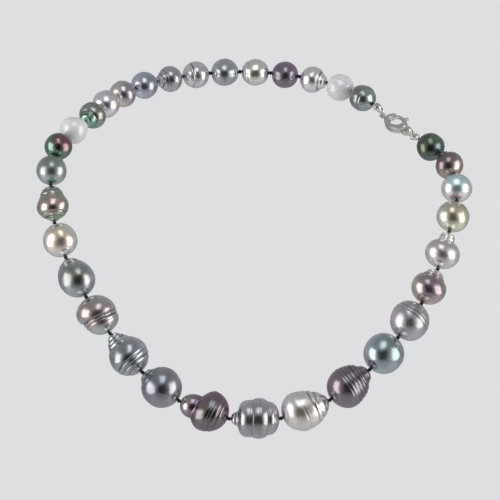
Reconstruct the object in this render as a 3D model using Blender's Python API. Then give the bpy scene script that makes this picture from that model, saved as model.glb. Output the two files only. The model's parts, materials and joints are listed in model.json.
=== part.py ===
"""A necklace of graduated baroque pearls, strung on one silk thread with a knot between every two
pearls and closed by a trigger clasp. It is modelled as it hangs round a neck: +Z is up, -Y is the
front, +X is the wearer's left, and the origin is on the neck's axis, level with the nape.
Sizes are written in millimetres and scaled by MM where they reach Blender.
"""

import math
from collections import namedtuple

import bmesh
import bpy
from mathutils import Matrix, Vector

MM = 0.001

# The line that the strand follows, from the clasp's nose forwards down the wearer's left side,
# round the front, up the other side and round the nape, back to the clasp.
ROUTE = [
    (40, 27.5, -10.5), (47.5, 16.5, -14.5), (55, 9, -18.5), (60.3, 3, -23), (61.3, -3, -29.5),
    (59.5, -8.5, -37), (56.5, -13, -47), (52.5, -17, -57), (46.5, -21.5, -66), (39, -26, -75),
    (28.5, -30, -84.5), (15, -33, -91.5), (0, -34, -94), (-15, -33, -91.5), (-28.5, -30, -84.5),
    (-39, -26, -74), (-47.5, -21.5, -63), (-54.3, -17, -51.5), (-58.7, -12.5, -42),
    (-60.8, -9, -31), (-60.8, -4, -22), (-60, 1, -17), (-56, 7, -13), (-50.3, 13.5, -10),
    (-43.5, 27, -5.5), (-31, 40.5, -2), (-16, 48.5, -0.3), (0, 51, 0), (16, 48.5, -1.5),
    (29, 42, -4.5), (36.5, 34, -8), (40, 27.5, -10.5),
]
ROUTE_STEPS = 24  # straight pieces between two route points
FIRST_KNOT = 18.2  # along the route, between the clasp and pearl 1
ROOT_PEARL = 28  # the pearl at the nape

THREAD_RADIUS = 0.22
BORE_RADIUS = 0.45
END_FLAT = 0.15  # width of the flat rim round each end of a bore
KNOT_RADIUS = 0.6
KNOT_HALF = 0.42
KNOT_SPACE = 1.1  # between the ends of two pearls
PEARL_SIDES = 14
PEARL_RINGS = 10

LOOP_WIRE = 0.35  # radius of the bullion loop, a tube of coiled fine wire
LOOP_LONG = 1.3
LOOP_WIDE = 0.9
LOOP_START = 0.9  # from a knot to the near end of its loop
LOOP_LINK = 2.6  # from a knot to the ring in its loop
CLAW_RING_WIRE = 0.4
CLAW_RING_RADIUS = 1.9
END_RING_WIRE = 0.45
END_RING_RADIUS = 2.2
RING_SIDES = 28
WIRE_SIDES = 8

CLAW_THICK = 2.0
EYE_THICK = 1.4
EYE_RADIUS = 1.5
EYE_HOLE = 0.8
TAIL_END = 2.2
TAIL_HALF = 1.15
CLAW_CENTRE = (6.0, 0.0)
CLAW_SIZE = (4.6, 3.0)
MOUTH_CENTRE = (6.4, -0.25)
MOUTH_SIZE = (2.9, 1.75)
GATE_START = 4.2  # the gate runs along the claw's lower side, from here
GATE_END = 8.9  # to the end of the hook
SLOT_WIDE = 1.2
SLOT_CORNER = (1.9, 1.05)
TRIGGER_THICK = 0.9
TRIGGER_TIP = 8.6
RIVET_PLACE = (2.9, -1.0)
RIVET_RADIUS = 0.4
RIVET_CLEARANCE = 0.08
HUB_RADIUS = 0.85
SPRING_WIRE = 0.15
SPRING_PATH = [(3.7, 0.2), (2.75, 0.2), (2.4, 0.28), (2.25, 0.5), (2.4, 0.72), (2.75, 0.8), (3.4, 0.7)]

# One pearl: its nacre, its length along the thread and its diameter, where its main body starts,
# is widest and ends as shares of the length, how pointed both ends are (0.5 is round), small
# swellings as (centre, half length, width) and ring grooves as (place, depth), all as shares.
Pearl = namedtuple("Pearl", "nacre length diameter body ends swellings grooves")
ROUND = (0.0, 0.5, 1.0)
BLUNT = (0.5, 0.5)
PEARLS = [
    Pearl("peacock", 8.2, 8.5, ROUND, BLUNT, [], []),
    Pearl("bronze", 8.8, 8.6, (0.12, 0.58, 1.0), (0.6, 0.5), [(0.13, 0.13, 0.55)], [(0.27, 0.05)]),
    Pearl("steel", 8.3, 9.3, ROUND, BLUNT, [], []),
    Pearl("pistachio", 9.2, 9.9, ROUND, BLUNT, [], [(0.2, 0.03)]),
    Pearl("lavender", 10.9, 10.5, (0.14, 0.57, 1.0), BLUNT, [(0.14, 0.14, 0.62)], []),
    Pearl("mauve", 10.8, 10.5, (0.05, 0.54, 1.0), BLUNT, [(0.16, 0.15, 0.72)], [(0.24, 0.04)]),
    Pearl("silver", 11.6, 12.0, (0.0, 0.52, 1.0), BLUNT, [], [(0.18, 0.05), (0.28, 0.04)]),
    Pearl("teal", 12.0, 12.0, ROUND, BLUNT, [], []),
    Pearl("aubergine", 14.1, 12.2, (0.06, 0.6, 1.0), (0.62, 0.5), [(0.1, 0.1, 0.5)], [(0.22, 0.05)]),
    Pearl("silver", 14.5, 12.2, (0.0, 0.66, 1.0), (0.75, 0.5), [(0.12, 0.12, 0.4)],
          [(0.22, 0.06), (0.36, 0.05)]),
    Pearl("pewter", 14.5, 12.2, (0.0, 0.5, 0.95), (0.46, 0.5), [(0.93, 0.07, 0.34)],
          [(0.2, 0.08), (0.42, 0.04), (0.62, 0.04)]),
    Pearl("aubergine", 14.9, 12.0, (0.0, 0.4, 0.76), BLUNT, [(0.82, 0.18, 0.64)], []),
    Pearl("mauve", 12.9, 12.2, (0.0, 0.48, 0.94), BLUNT, [(0.92, 0.08, 0.36)], [(0.87, 0.06)]),
    Pearl("storm", 14.3, 12.0, (0.0, 0.44, 1.0), (0.5, 0.72), [(0.92, 0.08, 0.32)],
          [(0.16, 0.05), (0.78, 0.05)]),
    Pearl("rose", 12.2, 11.7, (0.0, 0.5, 1.0), BLUNT, [], [(0.34, 0.12)]),
    Pearl("moss", 12.6, 10.8, (0.0, 0.42, 1.0), (0.5, 0.64), [(0.95, 0.05, 0.25)], []),
    Pearl("cream", 10.1, 10.3, ROUND, BLUNT, [], []),
    Pearl("bronze", 10.8, 9.6, (0.08, 0.46, 1.0), (0.5, 0.62), [(0.08, 0.08, 0.4)],
          [(0.14, 0.05), (0.74, 0.05)]),
    Pearl("sage", 8.7, 9.2, ROUND, BLUNT, [], []),
    Pearl("moss", 8.0, 8.3, ROUND, BLUNT, [], []),
    Pearl("ice", 8.6, 8.4, (0.0, 0.44, 1.0), (0.5, 0.6), [], []),
    Pearl("peacock", 8.3, 8.2, (0.16, 0.58, 1.0), BLUNT, [(0.16, 0.16, 0.62)], []),
    Pearl("silver", 8.3, 8.4, ROUND, BLUNT, [], []),
    Pearl("mauve", 8.4, 8.2, (0.0, 0.45, 1.0), (0.5, 0.62), [], [(0.75, 0.05)]),
    Pearl("teal", 8.0, 8.2, ROUND, BLUNT, [], []),
    Pearl("pewter", 8.3, 8.0, (0.1, 0.56, 1.0), BLUNT, [(0.12, 0.12, 0.5)], []),
    Pearl("lavender", 8.0, 8.2, ROUND, BLUNT, [], [(0.3, 0.05)]),
    Pearl("storm", 8.3, 8.3, ROUND, BLUNT, [], []),
    Pearl("pistachio", 8.3, 8.1, (0.0, 0.54, 1.0), (0.6, 0.5), [], [(0.24, 0.05)]),
    Pearl("aubergine", 8.0, 8.2, ROUND, BLUNT, [], []),
    Pearl("steel", 8.2, 8.1, (0.0, 0.46, 0.9), BLUNT, [(0.88, 0.12, 0.5)], []),
    Pearl("ice", 8.2, 8.2, ROUND, BLUNT, [], []),
    Pearl("moss", 8.2, 8.0, ROUND, BLUNT, [], [(0.7, 0.04)]),
]

NACRES = {
    "peacock": (0.06, 0.10, 0.10),
    "bronze": (0.17, 0.14, 0.11),
    "steel": (0.22, 0.27, 0.34),
    "pistachio": (0.36, 0.43, 0.31),
    "lavender": (0.45, 0.43, 0.46),
    "mauve": (0.22, 0.17, 0.20),
    "silver": (0.46, 0.46, 0.47),
    "teal": (0.18, 0.29, 0.27),
    "aubergine": (0.13, 0.09, 0.12),
    "pewter": (0.20, 0.21, 0.20),
    "storm": (0.09, 0.11, 0.14),
    "rose": (0.52, 0.45, 0.46),
    "moss": (0.11, 0.15, 0.12),
    "cream": (0.66, 0.62, 0.56),
    "sage": (0.17, 0.21, 0.19),
    "ice": (0.66, 0.70, 0.76),
}
SILVER = (0.80, 0.80, 0.78)
SILK = (0.02, 0.016, 0.014)


def clear_scene():
    for item in list(bpy.data.objects):
        bpy.data.objects.remove(item, do_unlink=True)


def material(name, colour, roughness, metallic):
    found = bpy.data.materials.get(name)
    if found:
        return found
    made = bpy.data.materials.new(name)
    made.use_nodes = True
    shader = made.node_tree.nodes["Principled BSDF"]
    shader.inputs["Base Color"].default_value = (*colour, 1)
    shader.inputs["Roughness"].default_value = roughness
    shader.inputs["Metallic"].default_value = metallic
    return made


def silver():
    return material("silver_metal", SILVER, 0.2, 1.0)


def link(name, data, finish, place):
    thing = bpy.data.objects.new(name, data)
    bpy.context.scene.collection.objects.link(thing)
    data.materials.append(finish)
    thing.matrix_world = place
    return thing


def smooth_line(points, steps):
    """A curve through the points, as many short straight pieces (centripetal Catmull-Rom)."""
    points = [Vector(p) for p in points]
    before, after = 2 * points[0] - points[1], 2 * points[-1] - points[-2]
    points = [before, *points, after]
    line = []
    for a, b, c, d in zip(points, points[1:], points[2:], points[3:]):
        ta = math.sqrt((b - a).length)
        tb = ta + math.sqrt((c - b).length)
        tc = tb + math.sqrt((d - c).length)
        for step in range(steps):
            t = ta + (tb - ta) * step / steps
            ab = a.lerp(b, t / ta)
            bc = b.lerp(c, (t - ta) / (tb - ta))
            cd = c.lerp(d, (t - tb) / (tc - tb))
            abc = ab.lerp(bc, t / tb)
            bcd = bc.lerp(cd, (t - ta) / (tc - ta))
            line.append(abc.lerp(bcd, (t - ta) / (tb - ta)))
    line.append(points[-2])
    return line


def point_along(line, distance):
    for a, b in zip(line, line[1:]):
        length = (b - a).length
        if distance <= length:
            return a.lerp(b, distance / length)
        distance -= length
    return line[-1]


def frame_at(start, end, middle):
    """Axes at start: Z runs to end, X points inwards to the middle of the loop."""
    along = (end - start).normalized()
    inward = middle - start
    inward = (inward - inward.dot(along) * along).normalized()
    across = along.cross(inward)
    return Matrix((
        (inward.x, across.x, along.x, start.x * MM),
        (inward.y, across.y, along.y, start.y * MM),
        (inward.z, across.z, along.z, start.z * MM),
        (0, 0, 0, 1),
    ))


def radius_at(pearl, share):
    start, widest, end = pearl.body
    low, high = pearl.ends
    if share < widest:
        off, power = (widest - share) / (widest - start), low
    else:
        off, power = (share - widest) / (end - widest), high
    radius = max(0.0, 1 - off * off) ** power
    for centre, half, width in pearl.swellings:
        inside = 1 - ((share - centre) / half) ** 2
        radius = max(radius, width * math.sqrt(max(0.0, inside)))
    for place, depth in pearl.grooves:
        radius *= 1 - depth * math.exp(-(((share - place) / 0.035) ** 2))
    return max(radius * pearl.diameter / 2, BORE_RADIUS + END_FLAT)


def pearl_mesh(name, pearl, start):
    """A turned pearl along +Z from start, with its bore."""
    profile = []
    for ring in range(PEARL_RINGS + 1):
        share = 0.5 - 0.5 * math.cos(math.pi * ring / PEARL_RINGS)
        profile.append((radius_at(pearl, share), start + share * pearl.length))
    profile.append((BORE_RADIUS, start + pearl.length))
    profile.append((BORE_RADIUS, start))
    work = bmesh.new()
    corners = [work.verts.new((radius * MM, 0, height * MM)) for radius, height in profile]
    for a, b in zip(corners, corners[1:] + corners[:1]):
        work.edges.new((a, b))
    bmesh.ops.spin(
        work, geom=work.verts[:] + work.edges[:], axis=(0, 0, 1), cent=(0, 0, 0),
        angle=2 * math.pi, steps=PEARL_SIDES, use_merge=True,
    )
    return finished(work, name)


def finished(work, name):
    bmesh.ops.recalc_face_normals(work, faces=work.faces[:])
    mesh = bpy.data.meshes.new(name)
    work.to_mesh(mesh)
    work.free()
    mesh.shade_smooth()
    mesh.set_sharp_from_angle(angle=math.radians(40))
    return mesh


def make_pearls(knots, middle):
    """Pearls between neighbouring knots. Each has its origin on the knot nearer the nape."""
    for index, pearl in enumerate(PEARLS):
        name = f"pearl_{index + 1:02d}"
        near_start = index + 1 > ROOT_PEARL
        origin, start = knots[index], KNOT_SPACE / 2
        if not near_start:
            origin, start = knots[index + 1], -KNOT_SPACE / 2 - pearl.length
        place = frame_at(origin, origin + knots[index + 1] - knots[index], middle)
        nacre = material("nacre_" + pearl.nacre, NACRES[pearl.nacre], 0.18, 0.0)
        link(name, pearl_mesh(name, pearl, start), nacre, place)


def tube(name, points, radii, sides, closed):
    """A tube as a curve, with a radius of its own at each point."""
    curve = bpy.data.curves.new(name, "CURVE")
    curve.dimensions = "3D"
    curve.bevel_depth = MM
    curve.bevel_resolution = sides // 2 - 2
    curve.use_fill_caps = not closed
    spline = curve.splines.new("POLY")
    spline.points.add(len(points) - 1)
    spline.use_cyclic_u = closed
    for corner, point, radius in zip(spline.points, points, radii):
        corner.co = (*(Vector(point) * MM), 1)
        corner.radius = radius
    return curve


def make_thread(knots):
    """The silk from its first knot to its last, swelling to a knot between every two pearls."""
    swelling = [(-1, THREAD_RADIUS), (-0.6, 0.85 * KNOT_RADIUS), (0, KNOT_RADIUS),
                (0.6, 0.85 * KNOT_RADIUS), (1, THREAD_RADIUS)]
    points, radii = [], []
    for index, knot in enumerate(knots):
        back = (knot - knots[index - 1]) if index else (knots[1] - knot)
        on = (knots[index + 1] - knot) if index + 1 < len(knots) else back
        for share, radius in swelling:
            way = back if share < 0 else on
            points.append(knot + way.normalized() * share * KNOT_HALF)
            radii.append(radius)
    silk = material("silk", SILK, 0.75, 0.0)
    link("silk_thread", tube("silk_thread", points, radii, WIRE_SIDES, False), silk, Matrix())


def ellipse(centre, size, sides):
    for side in range(sides):
        turn = 2 * math.pi * side / sides
        yield centre[0] + size[0] * math.cos(turn), centre[1] + size[1] * math.sin(turn)


def make_loop(name, place):
    """A bullion loop round the thread's end, in the plane of X and Z."""
    centre = (0, LOOP_START + LOOP_LONG)
    outline = ellipse(centre, (LOOP_WIDE, LOOP_LONG), RING_SIDES)
    points = [(x, 0, z) for x, z in outline]
    curve = tube(name, points, [LOOP_WIRE] * RING_SIDES, WIRE_SIDES, True)
    link(name, curve, silver(), place)


def make_ring(name, place, radius, wire):
    """A closed ring across its loop, in the plane of Y and Z, hanging from its own origin."""
    outline = ellipse((0, radius), (radius, radius), RING_SIDES)
    points = [(0, y, z) for y, z in outline]
    link(name, tube(name, points, [wire] * RING_SIDES, WIRE_SIDES, True), silver(), place)


def plate(name, outline, thick):
    """A flat piece: an outline of (along, across) points, drawn in the plane of Z and X."""
    work = bmesh.new()
    corners = [work.verts.new((x * MM, -thick / 2 * MM, z * MM)) for z, x in outline]
    face = work.faces.new(corners)
    grown = bmesh.ops.extrude_face_region(work, geom=[face])["geom"]
    top = [part for part in grown if isinstance(part, bmesh.types.BMVert)]
    bmesh.ops.translate(work, verts=top, vec=(0, thick * MM, 0))
    return finished(work, name)


def cutter(name, outline, thick, place):
    shape = link(name, plate(name, outline, thick), silver(), place)
    shape.hide_render = True
    shape.display_type = "WIRE"
    return shape


def boolean(target, tool, operation):
    change = target.modifiers.new(tool.name, "BOOLEAN")
    change.object = tool
    change.operation = operation
    change.solver = "EXACT"


def circle(centre, radius, sides=20):
    return list(ellipse(centre, (radius, radius), sides))


def rectangle(low, high):
    return [low, (high[0], low[1]), high, (low[0], high[1])]


def make_claw(place):
    """The cast claw: an oval frame with an eye at its tail, open at the gate on its lower side."""
    oval = plate("claw", list(ellipse(CLAW_CENTRE, CLAW_SIZE, 36)), CLAW_THICK)
    claw = link("claw", oval, silver(), place)
    eye = [point for point in circle((0, 0), EYE_RADIUS, 24) if point[0] < 0.1]
    tail = eye + [(TAIL_END, -TAIL_HALF), (TAIL_END, TAIL_HALF)]
    boolean(claw, cutter("tail", tail, EYE_THICK, place), "UNION")
    past = CLAW_THICK + 2
    slot = rectangle((SLOT_CORNER[0], -CLAW_SIZE[1] - 1), (GATE_START + 1, SLOT_CORNER[1]))
    gate = rectangle((GATE_START, -CLAW_SIZE[1] - 1), (GATE_END, MOUTH_CENTRE[1] - 0.4))
    cuts = {
        "eye_hole": (circle((0, 0), EYE_HOLE), past),
        "mouth": (list(ellipse(MOUTH_CENTRE, MOUTH_SIZE, 28)), past),
        "gate": (gate, past),
        "trigger_slot": (slot, SLOT_WIDE),
        "rivet_bore": (circle(RIVET_PLACE, RIVET_RADIUS + RIVET_CLEARANCE, 16), past),
    }
    for name, (outline, thick) in cuts.items():
        boolean(claw, cutter("cut_" + name, outline, thick, place), "DIFFERENCE")


def band(size_share, start, end, count):
    """Points along the claw's lower side, between its outline (1) and its mouth (0)."""
    for step in range(count + 1):
        along = start + (end - start) * step / count
        outer = lower_side(CLAW_CENTRE, CLAW_SIZE, along)
        inner = lower_side(MOUTH_CENTRE, MOUTH_SIZE, along)
        yield along, inner + (outer - inner) * size_share


def lower_side(centre, size, along):
    off = (along - centre[0]) / size[0]
    return centre[1] - size[1] * math.sqrt(max(0.0, 1 - off * off))


def make_trigger(place):
    """The lever that closes the gate: a hub on the rivet, an arm to the hook, and a thumb tab."""
    arm = list(band(0.96, GATE_START, TRIGGER_TIP, 8)) + list(band(0.1, TRIGGER_TIP, GATE_START, 8))
    arm += [(RIVET_PLACE[0] + 0.3, RIVET_PLACE[1] + 0.5), (RIVET_PLACE[0] - 0.2, RIVET_PLACE[1] - 0.7)]
    trigger = link("claw_trigger", plate("claw_trigger", arm, TRIGGER_THICK), silver(), place)
    tab = [(4.5, -2.0), (5.5, -2.4), (5.1, -3.7), (4.7, -3.9), (4.3, -3.6)]
    boolean(trigger, cutter("thumb_tab", tab, TRIGGER_THICK * 0.98, place), "UNION")
    hub = cutter("trigger_hub", circle(RIVET_PLACE, HUB_RADIUS), TRIGGER_THICK * 1.02, place)
    boolean(trigger, hub, "UNION")
    hole = circle(RIVET_PLACE, RIVET_RADIUS + RIVET_CLEARANCE, 16)
    boolean(trigger, cutter("cut_hub", hole, CLAW_THICK, place), "DIFFERENCE")


def make_rivet(place):
    pin = plate("claw_rivet", circle(RIVET_PLACE, RIVET_RADIUS, 16), CLAW_THICK)
    link("claw_rivet", pin, silver(), place)


def make_spring(place):
    points = [(x, 0, z) for z, x in SPRING_PATH]
    curve = tube("claw_spring", points, [SPRING_WIRE] * len(points), WIRE_SIDES, False)
    link("claw_spring", curve, material("spring_steel", (0.5, 0.5, 0.52), 0.3, 1.0), place)


def make_clasp(line, middle, last_knot):
    """Bullion loops and rings on both ends of the strand, and the trigger clasp on the first."""
    ring_at = FIRST_KNOT - LOOP_LINK
    claw_at = ring_at - 2 * CLAW_RING_RADIUS
    stops = [point_along(line, at) for at in (FIRST_KNOT, ring_at, claw_at, 0)]
    loop, ring, claw = (frame_at(a, b, middle) for a, b in zip(stops, stops[1:]))
    make_loop("claw_loop", loop)
    make_ring("claw_ring", ring, CLAW_RING_RADIUS, CLAW_RING_WIRE)
    make_claw(claw)
    make_trigger(claw)
    make_rivet(claw)
    make_spring(claw)
    ends = (last_knot, last_knot + LOOP_LINK, last_knot + LOOP_LINK + 2 * END_RING_RADIUS)
    stops = [point_along(line, at) for at in ends]
    loop, ring = (frame_at(a, b, middle) for a, b in zip(stops, stops[1:]))
    make_loop("end_loop", loop)
    make_ring("end_ring", ring, END_RING_RADIUS, END_RING_WIRE)


def build():
    clear_scene()
    line = smooth_line(ROUTE, ROUTE_STEPS)
    places = [FIRST_KNOT]
    for pearl in PEARLS:
        places.append(places[-1] + pearl.length + KNOT_SPACE)
    knots = [point_along(line, place) for place in places]
    middle = sum(knots, Vector()) / len(knots)
    make_pearls(knots, middle)
    make_thread(knots)
    make_clasp(line, middle, places[-1])


build()
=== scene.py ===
import json
import math
from collections import namedtuple

import bmesh
import bpy
from mathutils import Matrix, Vector, noise


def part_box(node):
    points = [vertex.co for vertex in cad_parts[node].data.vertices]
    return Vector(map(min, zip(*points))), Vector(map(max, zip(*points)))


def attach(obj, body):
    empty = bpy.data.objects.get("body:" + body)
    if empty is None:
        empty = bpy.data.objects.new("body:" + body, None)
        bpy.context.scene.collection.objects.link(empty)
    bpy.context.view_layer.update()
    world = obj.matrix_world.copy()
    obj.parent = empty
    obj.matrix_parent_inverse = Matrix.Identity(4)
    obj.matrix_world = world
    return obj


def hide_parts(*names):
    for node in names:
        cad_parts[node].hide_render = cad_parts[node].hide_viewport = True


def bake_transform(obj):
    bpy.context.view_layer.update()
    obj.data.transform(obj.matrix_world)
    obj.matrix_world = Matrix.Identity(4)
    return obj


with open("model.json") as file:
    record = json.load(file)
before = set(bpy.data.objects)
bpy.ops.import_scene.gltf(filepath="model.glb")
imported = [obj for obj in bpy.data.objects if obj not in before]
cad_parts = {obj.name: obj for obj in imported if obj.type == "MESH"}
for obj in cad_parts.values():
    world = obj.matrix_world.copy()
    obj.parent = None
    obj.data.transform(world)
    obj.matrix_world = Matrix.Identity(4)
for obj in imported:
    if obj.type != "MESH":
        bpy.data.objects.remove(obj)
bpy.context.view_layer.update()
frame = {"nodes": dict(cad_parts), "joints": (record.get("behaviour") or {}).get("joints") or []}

# ---- Nacre ------------------------------------------------------------------------------------
# Nacre is thousands of crystal layers laid over a bead. It shines from inside like soft metal,
# under a clearer outer skin, and its body colour drifts to an overtone in patches and bands.
def swatch(red, green, blue):
    """A colour as a paint card gives it, 0 to 255, turned to the linear values of a shader."""
    return tuple((part / 255) ** 2.2 for part in (red, green, blue)) + (1,)


PATCH_SCALE, BAND_SCALE = 210, 420  # patches and bands to a metre, as for all scales here
GRAIN_SCALE, GROWTH_SCALE = 2600, 1500
PIT_SCALE, PIT_CLUSTER_SCALE = 620, 330
PATCH_SHARE, BAND_SHARE = 0.6, 0.4
DRIFT_LOW, DRIFT_HIGH = 0.38, 0.62
# Painted reflection: the front of each pearl, towards the camera, is painted with the darker, tinted colour
# of the reflection at a pearl's middle.
PAINTED_REFLECTION_START, PAINTED_REFLECTION_FULL = 0.62, 1.02  # in shares of the way to the front of the pearl
PIT_EDGE, PIT_MIDDLE = 0.17, 0.05
# Painted shade: a groove's colour is painted darker for its depth, as shade in it.
GROOVE_PAINTED_SHADE = 9  # how much darker a groove is for its depth
UNTINTED_REACH = 0.02
DARKEST = 0.15


def build_nacre_skin():
    """Nacre's colour, roughness and height: overtones, a painted reflection on the front, end tints, pits,
    grooves, and painted shade in pits and grooves.
    """
    group = bpy.data.node_groups.new("nacre_skin", "ShaderNodeTree")
    for label in ("Body", "Flow", "Blush", "First End", "Last End"):
        group.interface.new_socket(label, in_out="INPUT", socket_type="NodeSocketColor")
    for label in ("First Reach", "Last Reach", "Blush Share", "Luster"):
        group.interface.new_socket(label, in_out="INPUT", socket_type="NodeSocketFloat")
    group.interface.new_socket("Colour", in_out="OUTPUT", socket_type="NodeSocketColor")
    group.interface.new_socket("Roughness", in_out="OUTPUT", socket_type="NodeSocketFloat")
    group.interface.new_socket("Height", in_out="OUTPUT", socket_type="NodeSocketFloat")
    nodes, links = group.nodes, group.links
    given, made = nodes.new("NodeGroupInput"), nodes.new("NodeGroupOutput")
    place = nodes.new("ShaderNodeTexCoord")
    share = nodes.new("ShaderNodeSeparateXYZ")
    links.new(place.outputs["Generated"], share.inputs[0])

    def texture(scale, detail, stretch, wobble=0.0):
        squeeze = nodes.new("ShaderNodeMapping")
        squeeze.inputs["Scale"].default_value = stretch
        links.new(place.outputs["Object"], squeeze.inputs["Vector"])
        cloud = nodes.new("ShaderNodeTexNoise")
        cloud.inputs["Scale"].default_value = scale
        cloud.inputs["Detail"].default_value = detail
        cloud.inputs["Distortion"].default_value = wobble
        links.new(squeeze.outputs[0], cloud.inputs["Vector"])
        return cloud.outputs["Fac"]

    def number(operation, first, second):
        maths = nodes.new("ShaderNodeMath")
        maths.operation = operation
        for socket, value in zip(maths.inputs, (first, second)):
            if isinstance(value, (int, float)):
                socket.default_value = value
            else:
                links.new(value, socket)
        return maths.outputs[0]

    def ramp(value, low, high):
        step = nodes.new("ShaderNodeMapRange")
        step.interpolation_type = "SMOOTHSTEP"
        links.new(value, step.inputs["Value"])
        for socket, bound in (("From Min", low), ("From Max", high)):
            if isinstance(bound, (int, float)):
                step.inputs[socket].default_value = bound
            else:
                links.new(bound, step.inputs[socket])
        return step.outputs["Result"]

    def blend(share_of_second, first, second):
        mix = nodes.new("ShaderNodeMix")
        mix.data_type = "RGBA"
        links.new(share_of_second, mix.inputs["Factor"])
        for socket, value in ((mix.inputs["A"], first), (mix.inputs["B"], second)):
            if isinstance(value, tuple):
                socket.default_value = value
            else:
                links.new(value, socket)
        return mix.outputs["Result"]

    patches = texture(PATCH_SCALE, 2, (1, 1, 1), 0.8)
    bands = texture(BAND_SCALE, 3, (0.12, 0.12, 1))
    cloud = number("ADD", number("MULTIPLY", patches, PATCH_SHARE), number("MULTIPLY", bands, BAND_SHARE))
    drift = ramp(cloud, DRIFT_LOW, DRIFT_HIGH)
    colour = blend(drift, given.outputs["Body"], given.outputs["Flow"])
    # Painted reflection: the front of the pearl takes the darker, tinted colour that a pearl's middle shows
    # as a reflection towards the camera.
    wander = number("MULTIPLY", number("SUBTRACT", patches, 0.5), 0.5)
    facing = number("ADD", share.outputs["X"], wander)
    blush = number("MULTIPLY", ramp(facing, PAINTED_REFLECTION_START, PAINTED_REFLECTION_FULL), given.outputs["Blush Share"])
    colour = blend(blush, colour, given.outputs["Blush"])
    waver = number("MULTIPLY", number("SUBTRACT", bands, 0.5), 0.1)
    along = number("ADD", share.outputs["Z"], waver)
    first = number("SUBTRACT", 1, ramp(along, 0, given.outputs["First Reach"]))
    colour = blend(first, colour, given.outputs["First End"])
    last = ramp(along, number("SUBTRACT", 1, given.outputs["Last Reach"]), 1)
    colour = blend(last, colour, given.outputs["Last End"])
    grain = texture(GRAIN_SCALE, 4, (1, 1, 0.6))
    growth = texture(GROWTH_SCALE, 2, (0.2, 0.2, 1))
    # Pits are lower and rougher, and their colour is also painted darker, as shade in them.
    pits = nodes.new("ShaderNodeTexVoronoi")
    pits.inputs["Scale"].default_value = PIT_SCALE
    links.new(place.outputs["Object"], pits.inputs["Vector"])
    sparse = ramp(texture(PIT_CLUSTER_SCALE, 1, (1, 1, 1)), 0.56, 0.66)
    hollow = number("SUBTRACT", 1, ramp(pits.outputs["Distance"], PIT_MIDDLE, PIT_EDGE))
    pit = number("MULTIPLY", hollow, sparse)
    shade = number("ADD", number("MULTIPLY", grain, 0.16), number("MULTIPLY", growth, 0.14))
    # Painted shade: pits and grooves are painted darker, grooves in step with their depth.
    groove = nodes.new("ShaderNodeAttribute")
    groove.attribute_name = "groove"
    painted_recess_shade = number("ADD", number("MULTIPLY", pit, 0.35),
                   number("MULTIPLY", groove.outputs["Fac"], GROOVE_PAINTED_SHADE))
    dim = nodes.new("ShaderNodeHueSaturation")
    value = number("MAXIMUM", DARKEST, number("SUBTRACT", number("ADD", 0.85, shade), painted_recess_shade))
    links.new(value, dim.inputs["Value"])
    links.new(colour, dim.inputs["Color"])
    links.new(dim.outputs["Color"], made.inputs["Colour"])
    rough = number("ADD", given.outputs["Luster"], number("MULTIPLY", grain, 0.1))
    links.new(number("ADD", rough, number("MULTIPLY", pit, 0.25)), made.inputs["Roughness"])
    relief = number("ADD", number("MULTIPLY", growth, 0.5), number("MULTIPLY", grain, 0.12))
    links.new(number("SUBTRACT", relief, pit), made.inputs["Height"])
    return group


nacre_skin = build_nacre_skin()
# A nacre's third colour is a painted reflection: the darker, tinted middle that a pearl shows towards the
# camera, laid on its front.
Nacre = namedtuple("Nacre", "body flow blush metal luster blush_share first last",
                   defaults=(0.93, 0.21, 0.8, None, None))


def nacre_finish(name, nacre):
    finish = bpy.data.materials.new(name)
    finish.use_nodes = True
    nodes, links = finish.node_tree.nodes, finish.node_tree.links
    shader = nodes["Principled BSDF"]
    skin = nodes.new("ShaderNodeGroup")
    skin.node_tree = nacre_skin
    skin.inputs["Body"].default_value = swatch(*nacre.body)
    skin.inputs["Flow"].default_value = swatch(*nacre.flow)
    skin.inputs["Blush"].default_value = swatch(*nacre.blush)
    for end, label in ((nacre.first, "First"), (nacre.last, "Last")):
        tint, reach = end or (nacre.body, UNTINTED_REACH)
        skin.inputs[label + " End"].default_value = swatch(*tint)
        skin.inputs[label + " Reach"].default_value = reach
    skin.inputs["Blush Share"].default_value = nacre.blush_share
    skin.inputs["Luster"].default_value = nacre.luster
    relief = nodes.new("ShaderNodeBump")
    relief.inputs["Strength"].default_value = 0.12
    relief.inputs["Distance"].default_value = 0.0001
    links.new(skin.outputs["Height"], relief.inputs["Height"])
    links.new(relief.outputs["Normal"], shader.inputs["Normal"])
    links.new(skin.outputs["Colour"], shader.inputs["Base Color"])
    links.new(skin.outputs["Roughness"], shader.inputs["Roughness"])
    shader.inputs["Metallic"].default_value = nacre.metal
    shader.inputs["IOR"].default_value = 1.6
    shader.inputs["Coat Weight"].default_value = 0.28
    shader.inputs["Coat Roughness"].default_value = 0.14
    shader.inputs["Coat IOR"].default_value = 1.55
    return finish


# ---- Pearls of the wearer's left side, from the clasp down to the front -----------------------
# Baroque pearls grow as rounded segments with ring grooves between them, and each is drilled along
# its length and hung on one thread from knot to knot. They grow in size towards the front.
MM = 0.001
joint_place = {joint["name"]: Vector(joint["pos_m"]) for joint in frame["joints"]}
KNOT_COUNT = 34
knots = [joint_place[f"knot_{count:02d}"] for count in range(KNOT_COUNT)]
KNOT_SPACE = 1.1  # mm of thread between the ends of two pearls
NAPE_PEARL = 28  # pearls up to this one are measured back from the knot after them
FRONT = Vector((0, -1, 0))


def axes_at(start, end, facing):
    """Axes at start: Z runs to end, X turns to face that way."""
    along = (end - start).normalized()
    out = (facing - facing.dot(along) * along).normalized()
    return Matrix.Translation(start) @ Matrix((out, along.cross(out), along)).transposed().to_4x4()


def new_piece(name, mesh, finish, place):
    thing = bpy.data.objects.new(name, mesh)
    bpy.context.scene.collection.objects.link(thing)
    mesh.materials.append(finish)
    thing.matrix_world = place
    return thing


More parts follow.
